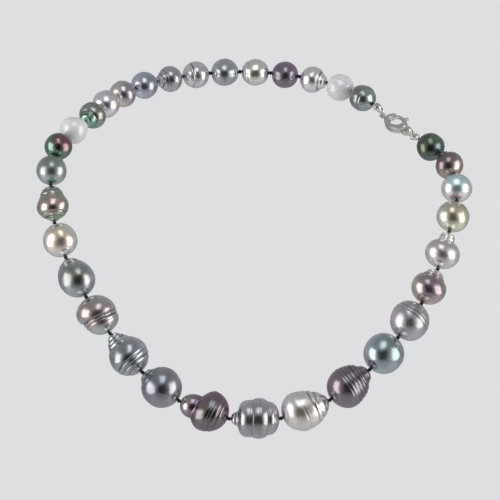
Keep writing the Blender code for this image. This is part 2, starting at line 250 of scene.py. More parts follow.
# Lengths, diameters and lumps are in millimetres. A segment is (low, high, half width, fullness) and
# a ring is (place, depth, width), in shares of the length and of the half width. A lump is (place,
# degrees round, reach, height). A tilt slants the segments and a lean bows the pearl, each with the
# degrees round that it goes to; 0 degrees faces the front.
Pearl = namedtuple("Pearl", "slot length diameter segments rings lumps nacre tilt lean",
                   defaults=(None, (0.0, 0), (0.0, 0)))
BORE_RADIUS = 0.45  # mm
BORE_DEPTH = 0.015  # how far in the bore's wall goes, as a share of the length
END_RIM = 0.15  # mm of pearl left round the bore at each end
MERGE = 12  # how sharply two segments meet
PEARL_SIDES = 64
PLAIN_ROUNDS, RINGED_ROUNDS = 56, 96
SWELL, RIPPLE = 0.045, 0.008  # how far the skin wanders, as shares of the half width
SWELL_SIZE, RIPPLE_SIZE = 1.1, 3.1
FADE_ONCE, FADE_TWICE = 0.45, 0.25  # how unevenly a groove runs round the pearl
WIND_ONCE, WIND_TWICE = 40, 70  # how far the uneven part has moved on by the next groove
EVEN_ROUNDS, CLOSE_ROUNDS = 0.45, 0.55  # rounds spread evenly, and drawn in towards the ends
LUMP_STRETCH = 0.8
SEED_STEP = 3.7  # sets each pearl's wandering apart from the next one's
BALL = [(0, 1, 1, 0.46)]


def pearl_radius(pearl, share, turn):
    """Half width at a share of the length, and how deep a groove is there."""
    total = 0.0
    for low, high, width, fullness in pearl.segments:
        off = (2 * share - low - high) / (high - low)
        total += (width * max(0.0, 1 - off * off) ** fullness) ** MERGE
    radius = total ** (1 / MERGE)
    groove = 0.0
    for place, depth, width in pearl.rings:
        off = (share - place) / width
        fade = (1 + FADE_ONCE * math.cos(turn - WIND_ONCE * place)
                + FADE_TWICE * math.cos(2 * turn + WIND_TWICE * place))
        groove += depth * fade * math.exp(-off * off)
    return radius * (1 - groove) * pearl.diameter / 2, groove


def pearl_mesh(name, pearl, start, seed):
    rounds = RINGED_ROUNDS if pearl.rings else PLAIN_ROUNDS
    work = bmesh.new()
    # Each corner keeps its groove depth, which the nacre paints as shade.
    painted_groove_shade = work.verts.layers.float.new("groove")
    slant, slant_way = pearl.tilt[0], math.radians(pearl.tilt[1])
    lean, lean_way = pearl.lean[0], math.radians(pearl.lean[1])
    skin = []
    for ring in range(rounds + 1):
        even = ring / rounds
        share = EVEN_ROUNDS * even + CLOSE_ROUNDS * (0.5 - 0.5 * math.cos(math.pi * even))
        arch = math.sin(math.pi * share)
        row = []
        for side in range(PEARL_SIDES):
            turn = 2 * math.pi * side / PEARL_SIDES
            level = share + slant * arch * math.cos(turn - slant_way)
            radius, groove = pearl_radius(pearl, level, turn)
            for place, way, reach, height in pearl.lumps or ():
                gap = (turn - math.radians(way) + math.pi) % (2 * math.pi) - math.pi
                away = math.hypot((share - place) * pearl.length, gap * radius * LUMP_STRETCH)
                radius += height * math.exp(-((away / reach) ** 2))
            spot = Vector((math.cos(turn), math.sin(turn), 2 * share * pearl.length / pearl.diameter))
            drift = noise.noise(spot * SWELL_SIZE + Vector((seed, 0, 0)))
            ripple = noise.noise(spot * RIPPLE_SIZE + Vector((0, seed, 0)))
            radius *= 1 + arch * (SWELL * drift + RIPPLE * ripple)
            radius = max(radius, BORE_RADIUS + END_RIM)
            corner = work.verts.new((
                (radius * math.cos(turn) + lean * arch ** 2 * math.cos(lean_way)) * MM,
                (radius * math.sin(turn) + lean * arch ** 2 * math.sin(lean_way)) * MM,
                (start + share * pearl.length) * MM))
            corner[painted_groove_shade] = groove
            row.append(corner)
        skin.append(row)
    bore = [(BORE_RADIUS * math.cos(2 * math.pi * side / PEARL_SIDES) * MM,
             BORE_RADIUS * math.sin(2 * math.pi * side / PEARL_SIDES) * MM)
            for side in range(PEARL_SIDES)]
    for share in (1 - BORE_DEPTH, BORE_DEPTH):
        height = (start + share * pearl.length) * MM
        skin.append([work.verts.new((across, out, height)) for across, out in bore])
    for row, after in zip(skin, skin[1:] + skin[:1]):
        for side in range(PEARL_SIDES):
            beside = (side + 1) % PEARL_SIDES
            work.faces.new((row[side], row[beside], after[beside], after[side]))
    bmesh.ops.recalc_face_normals(work, faces=work.faces[:])
    mesh = bpy.data.meshes.new(name)
    work.to_mesh(mesh)
    work.free()
    mesh.shade_smooth()
    return mesh


def thread_pearl(number, pearl):
    before, after = knots[number - 1], knots[number]
    origin, start = before, KNOT_SPACE / 2
    if number <= NAPE_PEARL:
        origin, start = after, -KNOT_SPACE / 2 - pearl.length
    place = axes_at(origin, origin + after - before, FRONT)
    node = f"pearl_{number:02d}"
    name = f"{pearl.slot}_pearl_{number:02d}"
    finish = nacre_finish(f"nacre_{number:02d}_{pearl.slot}", pearl.nacre)
    piece = new_piece(name, pearl_mesh(name, pearl, start, SEED_STEP * number), finish, place)
    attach(piece, node)
    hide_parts(node)


left_side = {
    1: Pearl("peacock", 8.2, 8.5, BALL, [(0.2, 0.03, 0.03)], [],
             Nacre((123, 145, 120), (101, 117, 131), (94, 97, 75))),
    2: Pearl("bronze", 8.8, 8.6, [(0, 0.36, 0.58, 0.5), (0.1, 1, 1, 0.5)],
             [(0.13, 0.05, 0.03), (0.25, 0.05, 0.03)], [],
             Nacre((170, 156, 165), (200, 193, 173), (120, 99, 103))),
    3: Pearl("steel", 8.3, 9.3, BALL, [], [(0.6, 150, 2.5, 0.15)],
             Nacre((250, 250, 250), (250, 250, 250), (219, 250, 250), metal=0.92, luster=0.27)),
    4: Pearl("pistachio", 9.2, 9.9, BALL, [(0.2, 0.03, 0.03)], [],
             Nacre((238, 250, 217), (248, 250, 231), (202, 169, 155), blush_share=0.65,
                   first=((167, 143, 140), 0.3), luster=0.26)),
    5: Pearl("lavender", 10.9, 10.5, [(-0.03, 0.36, 0.45, 0.4), (0.19, 1, 1, 0.46)],
             [(0.13, 0.04, 0.02), (0.39, 0.025, 0.014)], [],
             Nacre((241, 242, 237), (250, 250, 250), (202, 189, 196), metal=0.92, luster=0.27)),
    6: Pearl("mauve", 10.8, 10.5, [(0, 0.36, 0.54, 0.45), (0.1, 1, 1, 0.47)],
             [(0.23, 0.06, 0.025)], [],
             Nacre((205, 194, 198), (236, 231, 202), (137, 113, 133), first=((250, 250, 250), 0.22)),
             (0.02, 180)),
    7: Pearl("silver", 11.6, 12.0, BALL,
             [(0.2, 0.02, 0.014), (0.31, 0.045, 0.014), (0.42, 0.04, 0.014)], [],
             Nacre((215, 210, 220), (232, 219, 222), (172, 175, 174),
                   metal=0.92, luster=0.27), (0.03, 90)),
    8: Pearl("teal", 12.0, 12.0, BALL, [(0.24, 0.02, 0.03)], [(0.3, 60, 3, 0.25)],
             Nacre((202, 208, 217), (213, 226, 238), (133, 152, 143))),
    9: Pearl("aubergine", 14.1, 12.2,
             [(0, 0.36, 0.5, 0.5), (0.1, 0.66, 0.86, 0.5), (0.2, 1, 1, 0.5)],
             [(0.1, 0.05, 0.016), (0.17, 0.05, 0.016), (0.25, 0.05, 0.016), (0.33, 0.05, 0.016),
              (0.42, 0.04, 0.016), (0.51, 0.03, 0.014), (0.6, 0.015, 0.014)], [],
             Nacre((153, 141, 149), (163, 143, 153), (133, 128, 133)), (0.03, 60)),
    10: Pearl("silver", 14.5, 12.2,
              [(0, 0.22, 0.42, 0.5), (0.04, 0.44, 0.68, 0.5), (0.12, 0.68, 0.88, 0.5),
               (0.22, 1, 1, 0.5)],
              [(0.11, 0.06, 0.018), (0.23, 0.07, 0.018), (0.34, 0.05, 0.018), (0.57, 0.02, 0.012)],
              [], Nacre((250, 246, 250), (250, 250, 250), (233, 223, 212),
                        first=((250, 250, 250), 0.4), metal=0.92, luster=0.27), (0.05, -60)),
}
for number, pearl in left_side.items():
    thread_pearl(number, pearl)

# ---- Front pearls -----------------------------------------------------------------------------
# The largest pearls lie at the front and are the most ringed, so-called circled pearls: one with
# three drums and a nipple, one with a smaller lobe grown on, and two with capped or conical ends.
front = {
    11: Pearl("pewter", 14.5, 12.2,
              [(0, 0.4, 0.8, 0.5), (0.18, 0.67, 1.0, 0.27), (0.42, 0.86, 0.92, 0.27),
               (0.72, 0.96, 0.38, 0.42), (0.84, 1.0, 0.29, 0.42)],
              [(0.1, 0.02, 0.014), (0.25, 0.04, 0.014), (0.4, 0.025, 0.012), (0.56, 0.04, 0.014),
               (0.84, 0.06, 0.014), (0.91, 0.07, 0.014)],
              [], Nacre((207, 202, 207), (228, 223, 234), (155, 153, 149),
                        last=((246, 246, 247), 0.2)), (0.01, 90)),
    12: Pearl("aubergine", 14.9, 12.0, [(0, 0.73, 1.0, 0.5), (0.5, 1.0, 0.6, 0.5)],
              [(0.17, 0.03, 0.02), (0.27, 0.03, 0.02), (0.37, 0.02, 0.018)],
              [(0.46, 100, 2.6, 0.5), (0.6, -80, 3.0, 0.4)],
              Nacre((147, 126, 146), (162, 130, 157), (124, 128, 114), last=((200, 202, 189), 0.3),
                    metal=1.0),
              (0.05, 100)),
    13: Pearl("mauve", 12.9, 12.2, [(0, 0.95, 1.0, 0.5), (0.82, 1.0, 0.38, 0.45)],
              [(0.87, 0.06, 0.02), (0.78, 0.02, 0.02)], [],
              Nacre((172, 175, 181), (188, 185, 192), (131, 130, 139))),
    14: Pearl("storm", 14.3, 12.0,
              [(0, 0.83, 1.0, 0.5), (0.5, 0.94, 0.6, 0.5), (0.7, 1.0, 0.38, 0.45)],
              [(0.1, 0.05, 0.02), (0.19, 0.06, 0.018), (0.3, 0.05, 0.018), (0.74, 0.05, 0.016),
               (0.82, 0.06, 0.016), (0.9, 0.06, 0.016)], [],
              Nacre((199, 205, 207), (232, 239, 245), (132, 134, 136), metal=1.0), (0.02, 0)),
}
for number, pearl in front.items():
    thread_pearl(number, pearl)

# ---- Pearls of the wearer's right side, from the front up to the shoulder ---------------------
# The sizes fall again here, and round pearls alternate with drops and ringed ones.
right_side = {
    15: Pearl("rose", 12.2, 11.7, [(0, 0.66, 0.88, 0.5), (0.2, 1.0, 1.0, 0.48)],
              [(0.43, 0.08, 0.02), (0.34, 0.06, 0.018), (0.24, 0.03, 0.016)], [],
              Nacre((211, 216, 210), (222, 223, 221), (171, 145, 147)), (0.08, 60)),
    16: Pearl("moss", 12.6, 10.8,
              [(0, 0.9, 1.0, 0.5), (0.5, 0.98, 0.66, 0.6), (0.84, 1.0, 0.28, 0.5)],
              [(0.85, 0.05, 0.02)], [(0.82, -90, 1.6, 0.5)],
              Nacre((193, 197, 203), (216, 219, 227), (134, 137, 125), metal=1.0, luster=0.25)),
    17: Pearl("cream", 10.1, 10.3, BALL, [], [],
              Nacre((250, 248, 244), (250, 248, 244), (237, 207, 170),
                    metal=0.92, luster=0.27, blush_share=0.6)),
    18: Pearl("bronze", 10.8, 9.6,
              [(0, 0.2, 0.36, 0.5), (0.04, 0.8, 1.0, 0.5), (0.34, 1.0, 0.76, 0.5)],
              [(0.11, 0.06, 0.02), (0.22, 0.04, 0.02), (0.74, 0.03, 0.02), (0.85, 0.03, 0.02)], [],
              Nacre((189, 197, 182), (172, 211, 188), (202, 164, 157), last=((150, 182, 165), 0.4),
                    metal=1.0)),
    19: Pearl("sage", 8.7, 9.2, BALL, [], [],
              Nacre((188, 199, 194), (208, 215, 214), (147, 155, 143), metal=0.96, luster=0.26)),
    20: Pearl("moss", 8.0, 8.3, BALL, [], [],
              Nacre((127, 162, 138), (113, 146, 135), (149, 80, 104), metal=1.0)),
    21: Pearl("ice", 8.6, 8.4, [(0, 0.86, 1.0, 0.5), (0.45, 1.0, 0.72, 0.6)], [],
              [(0.8, 20, 1.2, 0.2)], Nacre((250, 250, 250), (250, 250, 250), (250, 250, 250),
                                           metal=0.08)),
    22: Pearl("peacock", 8.3, 8.2, [(0, 0.42, 0.62, 0.5), (0.13, 1, 1, 0.5)],
              [(0.12, 0.06, 0.03), (0.25, 0.06, 0.03)], [],
              Nacre((171, 176, 165), (161, 184, 173), (137, 121, 115),
                    first=((161, 196, 177), 0.35), blush_share=0.5)),
}
for number, pearl in right_side.items():
    thread_pearl(number, pearl)

# ---- Pearls round the nape --------------------------------------------------------------------
# Behind the neck the pearls are small and near round, of the same mixed colours, so that they
# lie flat under a collar. They run from the right shoulder round to the clasp.
nape = {
    23: Pearl("silver", 8.3, 8.4, BALL, [], [],
              Nacre((250, 244, 250), (250, 250, 250), (241, 221, 227))),
    24: Pearl("mauve", 8.4, 8.2, [(0, 0.9, 1, 0.5), (0.5, 1, 0.7, 0.6)], [(0.75, 0.05, 0.03)], [],
              Nacre((211, 203, 209), (241, 238, 212), (168, 155, 167))),
    25: Pearl("teal", 8.0, 8.2, BALL, [], [(0.4, 200, 2, 0.15)],
              Nacre((201, 203, 216), (226, 225, 250), (160, 167, 167))),
    26: Pearl("pewter", 8.3, 8.0, [(0, 0.34, 0.52, 0.5), (0.1, 1, 1, 0.5)],
              [(0.15, 0.06, 0.03), (0.27, 0.04, 0.03)], [],
              Nacre((207, 202, 207), (232, 223, 232), (169, 167, 169))),
    27: Pearl("lavender", 8.0, 8.2, BALL, [(0.3, 0.05, 0.03)], [],
              Nacre((236, 240, 237), (250, 250, 250), (214, 210, 215))),
    28: Pearl("storm", 8.3, 8.3, BALL, [], [],
              Nacre((196, 201, 204), (228, 236, 242), (157, 159, 162))),
    29: Pearl("pistachio", 8.3, 8.1, BALL, [(0.24, 0.05, 0.03)], [],
              Nacre((248, 250, 249), (248, 250, 249), (232, 232, 213))),
    30: Pearl("aubergine", 8.0, 8.2, BALL, [], [],
              Nacre((155, 139, 157), (179, 150, 194), (132, 128, 122))),
    31: Pearl("steel", 8.2, 8.1, [(0, 0.92, 1, 0.5), (0.74, 1, 0.52, 0.5)], [(0.77, 0.05, 0.03)], [],
              Nacre((250, 250, 250), (250, 250, 250), (250, 250, 250))),
    32: Pearl("ice", 8.2, 8.2, BALL, [], [],
              Nacre((250, 250, 250), (250, 250, 250), (250, 250, 250), metal=0.08)),
    33: Pearl("moss", 8.2, 8.0, BALL, [(0.7, 0.04, 0.03)], [],
              Nacre((182, 195, 196), (161, 180, 173), (149, 139, 138))),
}
for number, pearl in nape.items():
    thread_pearl(number, pearl)


# ---- Silk -------------------------------------------------------------------------------------
# The pearls are strung on dark two-ply silk cord, with a hand-tied knot in every gap. Each piece
# here is one knot with the cord from the middle of one bore to the middle of the next.
CORD_RADIUS = 0.23  # mm, like the rest here
KNOT_REACH = 0.46  # the knot's half length
KNOT_SWELL = 0.42  # how far its turns stand off the middle
KNOT_TURNS = 2.25
KNOT_STEPS, CORD_STEPS = 48, 8
END_CORD = 1.0  # how far the cord goes on past the first and last knots
KNOT_SHIFT = 1.3  # radians that each knot is turned from the one before
PLY_SWELL, PLY_TWIST = 0.16, 60
FIBRE_SCALE, WEAR_SCALE = 9000, 900


def silk_finish():
    finish = bpy.data.materials.new("silk_cord")
    finish.use_nodes = True
    nodes, links = finish.node_tree.nodes, finish.node_tree.links
    shader = nodes["Principled BSDF"]
    place = nodes.new("ShaderNodeTexCoord")
    fibre = nodes.new("ShaderNodeTexNoise")
    fibre.inputs["Scale"].default_value = FIBRE_SCALE
    fibre.inputs["Detail"].default_value = 3
    links.new(place.outputs["Object"], fibre.inputs["Vector"])
    wear = nodes.new("ShaderNodeTexNoise")
    wear.inputs["Scale"].default_value = WEAR_SCALE
    links.new(place.outputs["Object"], wear.inputs["Vector"])
    both = nodes.new("ShaderNodeMath")
    both.operation = "MULTIPLY"
    links.new(fibre.outputs["Fac"], both.inputs[0])
    links.new(wear.outputs["Fac"], both.inputs[1])
    tone = nodes.new("ShaderNodeValToRGB")
    tone.color_ramp.elements[0].position = 0.12
    tone.color_ramp.elements[0].color = swatch(26, 20, 20)
    tone.color_ramp.elements[1].position = 0.45
    tone.color_ramp.elements[1].color = swatch(74, 58, 56)
    links.new(both.outputs[0], tone.inputs["Fac"])
    links.new(tone.outputs["Color"], shader.inputs["Base Color"])
    relief = nodes.new("ShaderNodeBump")
    relief.inputs["Strength"].default_value = 0.4
    relief.inputs["Distance"].default_value = 0.00003
    links.new(fibre.outputs["Fac"], relief.inputs["Height"])
    links.new(relief.outputs["Normal"], shader.inputs["Normal"])
    shader.inputs["Roughness"].default_value = 0.62
    shader.inputs["Sheen Weight"].default_value = 0.25
    shader.inputs["Sheen Roughness"].default_value = 0.4
    return finish


silk = silk_finish()


def swept_mesh(name, path, sides, radius_of, closed=False):
    """A tube along path; radius_of gives its radius at a share of the path and an angle."""
    work = bmesh.new()
    count = len(path)
    rows = []
    up = None
    for step, point in enumerate(path):
        before = path[(step - 1) % count] if closed or step else point
        after = path[(step + 1) % count] if closed or step + 1 < count else point
        along = (after - before).normalized()
        if up is None:
            up = along.orthogonal()
        up = (up - up.dot(along) * along).normalized()
        beside = along.cross(up)
        row = []
        for side in range(sides):
            turn = 2 * math.pi * side / sides
            reach = radius_of(step / count, turn) * MM
            row.append(work.verts.new(point + (up * math.cos(turn) + beside * math.sin(turn)) * reach))
        rows.append(row)
    pairs = list(zip(rows, rows[1:]))
    if closed:
        pairs.append((rows[-1], rows[0]))
    for row, after in pairs:
        for side in range(sides):
            beside = (side + 1) % sides
            work.faces.new((row[side], row[beside], after[beside], after[side]))
    if not closed:
        work.faces.new(rows[0][::-1])
        work.faces.new(rows[-1])
    bmesh.ops.recalc_face_normals(work, faces=work.faces[:])
    mesh = bpy.data.meshes.new(name)
    work.to_mesh(mesh)
    work.free()
    mesh.shade_smooth()
    return mesh


def knot_path(tail, lead, turn_by):
    """Along +Z: the cord from the bore behind, the close turns of the knot, the cord to the next."""
    path = [Vector((0, 0, -tail + (tail - KNOT_REACH) * step / CORD_STEPS))
            for step in range(CORD_STEPS)]
    for step in range(KNOT_STEPS + 1):
        share = step / KNOT_STEPS
        turn = turn_by + 2 * math.pi * KNOT_TURNS * share
        off = KNOT_SWELL * math.sin(math.pi * share) ** 0.45
        path.append(Vector((off * math.cos(turn), off * math.sin(turn), KNOT_REACH * (2 * share - 1))))
    path += [Vector((0, 0, KNOT_REACH + (lead - KNOT_REACH) * step / CORD_STEPS))
             for step in range(1, CORD_STEPS + 1)]
    return [point * MM for point in path]


def twisted_cord(share, turn):
    return CORD_RADIUS * (1 + PLY_SWELL * math.cos(2 * (turn - PLY_TWIST * share)))


def tie_knots():
    for count, knot in enumerate(knots):
        before = knots[count - 1] if count else knot + (knot - knots[1])
        after = knots[count + 1] if count + 1 < len(knots) else knot + (knot - knots[-2])
        tail = (knot - before).length / MM / 2 if count else END_CORD
        lead = (after - knot).length / MM / 2 if count + 1 < len(knots) else END_CORD
        name = f"silk_knot_{count:02d}"
        straight = swept_mesh(name, knot_path(tail, lead, KNOT_SHIFT * count), 10, twisted_cord)
        back = axes_at(knot, 2 * knot - before, FRONT)
        onward = axes_at(knot, after, FRONT)
        for corner in straight.vertices:
            share = min(1.0, max(0.0, corner.co.z / (2 * KNOT_REACH * MM) + 0.5))
            corner.co = (back @ corner.co).lerp(onward @ corner.co, share)
        piece = new_piece(name, straight, silk, Matrix())
        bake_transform(piece)
        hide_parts("silk_thread")


tie_knots()


# ---- Silver -----------------------------------------------------------------------------------
# The clasp and its rings are polished sterling silver, with the hairlines that polishing and
# wear leave, and a little dullness where a cloth doesn't reach.
HAZE_SCALE, HAIRLINE_SCALE = 700, 14000
SMOOTHEST, DULLEST = 0.1, 0.3


def build_polish():
    group = bpy.data.node_groups.new("polished_metal", "ShaderNodeTree")
    group.interface.new_socket("Bright", in_out="INPUT", socket_type="NodeSocketColor")
    group.interface.new_socket("Dull", in_out="INPUT", socket_type="NodeSocketColor")
    group.interface.new_socket("Colour", in_out="OUTPUT", socket_type="NodeSocketColor")
    group.interface.new_socket("Roughness", in_out="OUTPUT", socket_type="NodeSocketFloat")
    group.interface.new_socket("Height", in_out="OUTPUT", socket_type="NodeSocketFloat")
    nodes, links = group.nodes, group.links
    given, made = nodes.new("NodeGroupInput"), nodes.new("NodeGroupOutput")
    place = nodes.new("ShaderNodeTexCoord")
    haze = nodes.new("ShaderNodeTexNoise")
    haze.inputs["Scale"].default_value = HAZE_SCALE
    haze.inputs["Detail"].default_value = 4
    links.new(place.outputs["Object"], haze.inputs["Vector"])
    mix = nodes.new("ShaderNodeMix")
    mix.data_type = "RGBA"
    links.new(haze.outputs["Fac"], mix.inputs["Factor"])
    links.new(given.outputs["Bright"], mix.inputs["A"])
    links.new(given.outputs["Dull"], mix.inputs["B"])
    links.new(mix.outputs["Result"], made.inputs["Colour"])
    squeeze = nodes.new("ShaderNodeMapping")
    squeeze.inputs["Scale"].default_value = (1, 0.15, 1)
    links.new(place.outputs["Object"], squeeze.inputs["Vector"])
    hairlines = nodes.new("ShaderNodeTexNoise")
    hairlines.inputs["Scale"].default_value = HAIRLINE_SCALE
    hairlines.inputs["Detail"].default_value = 2
    links.new(squeeze.outputs[0], hairlines.inputs["Vector"])
    rough = nodes.new("ShaderNodeMapRange")
    links.new(haze.outputs["Fac"], rough.inputs["Value"])
    rough.inputs["To Min"].default_value = SMOOTHEST
    rough.inputs["To Max"].default_value = DULLEST
    links.new(rough.outputs["Result"], made.inputs["Roughness"])
    links.new(hairlines.outputs["Fac"], made.inputs["Height"])
    return group


polish = build_polish()


def metal_finish(name, bright, dull):
    finish = bpy.data.materials.new(name)
    finish.use_nodes = True
    nodes, links = finish.node_tree.nodes, finish.node_tree.links
    shader = nodes["Principled BSDF"]
    skin = nodes.new("ShaderNodeGroup")
    skin.node_tree = polish
    skin.inputs["Bright"].default_value = swatch(*bright)
    skin.inputs["Dull"].default_value = swatch(*dull)
    relief = nodes.new("ShaderNodeBump")
    relief.inputs["Strength"].default_value = 0.08
    relief.inputs["Distance"].default_value = 0.00002
    links.new(skin.outputs["Height"], relief.inputs["Height"])
    links.new(relief.outputs["Normal"], shader.inputs["Normal"])
    links.new(skin.outputs["Colour"], shader.inputs["Base Color"])
    links.new(skin.outputs["Roughness"], shader.inputs["Roughness"])
    shader.inputs["Metallic"].default_value = 1.0
    return finish


silver = metal_finish("sterling_silver", (236, 235, 230), (206, 204, 198))

# ---- Bullion loops ----------------------------------------------------------------------------
# Where the silk turns back at each end it runs inside bullion, a fine wire coiled to a tube, so
# that the ring can't saw through it. The tube is bent to a small oval loop.
BULLION_RADIUS = 0.35  # mm, like the rest here
BULLION_TURNS = 46
BULLION_GROOVE = 0.13  # how deep the wire's turns show, as a share of the radius
STEPS_A_TURN = 6
LOOP_HALF_LONG = 1.3
LOOP_HALF_WIDE = 0.9
LOOP_START = 0.9  # from the knot to the near end of the loop
loop_middle = sum(knots, Vector()) / len(knots)


def coiled_wire(share, turn):
    wave = math.cos(2 * math.pi * BULLION_TURNS * share - turn)
    return BULLION_RADIUS * (1 - BULLION_GROOVE * (0.5 + 0.5 * wave))


def bend_loop(name, node, start, towards):
    place = axes_at(start, towards, loop_middle - start)
    path = []
    for step in range(BULLION_TURNS * STEPS_A_TURN):
        turn = 2 * math.pi * step / (BULLION_TURNS * STEPS_A_TURN)
        across, along = LOOP_HALF_WIDE * math.cos(turn), LOOP_HALF_LONG * math.sin(turn)
        path.append(Vector((across, 0, along + LOOP_START + LOOP_HALF_LONG)) * MM)
    loop = new_piece(name, swept_mesh(name, path, 14, coiled_wire, closed=True), silver, place)
    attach(loop, node)
    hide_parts(node)


bend_loop("claw_bullion", "claw_loop", knots[0], joint_place["claw_ring_swing"])
bend_loop("end_bullion", "end_loop", knots[-1], joint_place["end_ring_swing"])

# ---- Rings ------------------------------------------------------------------------------------
# Each loop holds a ring of round silver wire, bent closed and soldered, with the solder seam
# just showing. The claw hooks into the one on the far end of the strand.
SEAM_HALF = 0.012  # as a share of the way round
SEAM_RISE = 0.07  # as a share of the wire
RING_STEPS = 120
CLAW_RING = (1.9, 0.4)  # mm: the ring's radius, the wire's radius
END_RING = (2.2, 0.45)


def bend_ring(name, node, origin, radius, wire):
    low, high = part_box(node)
    place = axes_at(origin, (low + high) / 2, loop_middle - origin)

    def round_wire(share, _turn):
        off = (share - 0.5) / SEAM_HALF
        return wire * (1 + SEAM_RISE * math.exp(-off * off))

    path = []
    for step in range(RING_STEPS):
        turn = 2 * math.pi * step / RING_STEPS
        path.append(Vector((0, radius * math.sin(turn), radius * (1 - math.cos(turn)))) * MM)
    ring = new_piece(name, swept_mesh(name, path, 20, round_wire, closed=True), silver, place)
    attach(ring, node)
    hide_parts(node)


bend_ring("claw_jump_ring", "claw_ring", joint_place["claw_ring_swing"], *CLAW_RING)
bend_ring("end_jump_ring", "end_ring", joint_place["end_ring_swing"], *END_RING)

# ---- Trigger clasp ----------------------------------------------------------------------------
# The claw is cast and tumbled, so its edges are soft. The lever turns on a domed rivet, and a
# hairpin spring in the slot holds it against the hook.
CAST_VOXEL = 0.07  # mm


def tumbled(name, node, smoothing):
    """The cast shape with its edges worn round, as tumbling in steel shot leaves it."""
    mesh = frame["nodes"][node].data.copy()
    mesh.name = name
    mesh.materials.clear()
    mesh.transform(Matrix.Scale(1 / MM, 4))
    piece = new_piece(name, mesh, silver, Matrix())
    remesh = piece.modifiers.new("cast", "REMESH")
    remesh.mode = "VOXEL"
    remesh.voxel_size = CAST_VOXEL
    soften = piece.modifiers.new("soften", "SMOOTH")
    soften.factor = 0.5
    soften.iterations = smoothing
    solved = piece.evaluated_get(bpy.context.evaluated_depsgraph_get())
    shape = bpy.data.meshes.new_from_object(solved)
    piece.modifiers.clear()
    piece.data = shape
    shape.transform(Matrix.Scale(MM, 4))
    shape.shade_smooth()
    return piece


for name, node, smoothing in (("cast_claw", "claw", 12), ("lever", "claw_trigger", 6)):
    casting = tumbled(name, node, smoothing)
    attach(casting, node)
    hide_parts(node)

CLAW_NOSE = Vector((0.040, 0.0275, -0.0105))  # the way that the hook points from its ring
RIVET_PLACE = (-1.0 * MM, 0, 2.9 * MM)  # from the claw's eye, along its own axes
RIVET_SIDES = 28
DOME_TOP = 1.06  # mm from the pin's middle
claw_place = axes_at(joint_place["claw_swing"], CLAW_NOSE, loop_middle - joint_place["claw_swing"])


def turn_rivet():
    """A pin through the claw with a shallow dome at each end."""
    profile = [(0.2, -1.04), (0.36, -0.98), (0.4, -0.9), (0.4, 0.9), (0.36, 0.98), (0.2, 1.04)]
    work = bmesh.new()
    rows = []
    for radius, height in profile:
        turns = [2 * math.pi * side / RIVET_SIDES for side in range(RIVET_SIDES)]
        rows.append([work.verts.new((radius * math.cos(turn) * MM, height * MM, radius * math.sin(turn) * MM))
                     for turn in turns])
    for row, after in zip(rows, rows[1:]):
        for side in range(RIVET_SIDES):
            beside = (side + 1) % RIVET_SIDES
            work.faces.new((row[side], row[beside], after[beside], after[side]))
    for row, height in ((rows[0], -DOME_TOP), (rows[-1], DOME_TOP)):
        middle = work.verts.new((0, height * MM, 0))
        for side in range(RIVET_SIDES):
            work.faces.new((row[side], row[(side + 1) % RIVET_SIDES], middle))
    bmesh.ops.recalc_face_normals(work, faces=work.faces[:])
    mesh = bpy.data.meshes.new("domed_rivet")
    work.to_mesh(mesh)
    work.free()
    mesh.shade_smooth()
    rivet = new_piece("domed_rivet", mesh, silver,
                      claw_place @ Matrix.Translation(RIVET_PLACE))
    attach(rivet, "claw")
    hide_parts("claw_rivet")


turn_rivet()
spring_steel = metal_finish("drawn_spring_steel", (190, 190, 194), (150, 150, 156))


SPRING_RADIUS = 0.14
BEND_STEPS = 5


def bend_spring():
    corners = [(3.7, 0.2), (3.2, 0.2), (2.75, 0.2), (2.45, 0.26), (2.27, 0.4), (2.25, 0.52),
               (2.34, 0.68), (2.55, 0.79), (2.85, 0.8), (3.4, 0.7)]
    path = [Vector((across, 0, along)) * MM for along, across in corners]
    fine = []
    for first, second in zip(path, path[1:]):
        fine += [first.lerp(second, step / BEND_STEPS) for step in range(BEND_STEPS)]
    fine.append(path[-1])
    mesh = swept_mesh("hairpin_spring", fine, 10, lambda share, turn: SPRING_RADIUS)
    mesh.transform(claw_place)
    spring = new_piece("hairpin_spring", mesh, spring_steel, Matrix())
    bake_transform(spring)
    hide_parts("claw_spring")


bend_spring()

# ---- Floor ------------------------------------------------------------------------------------
# A wide pale studio floor of painted board. It lies well below the necklace, which hangs in the
# air as it is worn, so that the boxes of light reach the pearls from below their middle too.
FLOOR_HALF = 14.0
FLOOR_HEIGHT = -0.8
EVEN_SHARE = 0.9  # how much of what the camera sees of the floor is its plain tone
floor_mesh = bpy.data.meshes.new("studio_floor")
floor_mesh.from_pydata(
    [(-FLOOR_HALF, -FLOOR_HALF, FLOOR_HEIGHT), (FLOOR_HALF, -FLOOR_HALF, FLOOR_HEIGHT),
     (FLOOR_HALF, FLOOR_HALF, FLOOR_HEIGHT), (-FLOOR_HALF, FLOOR_HALF, FLOOR_HEIGHT)],
    [], [(0, 1, 2, 3)])


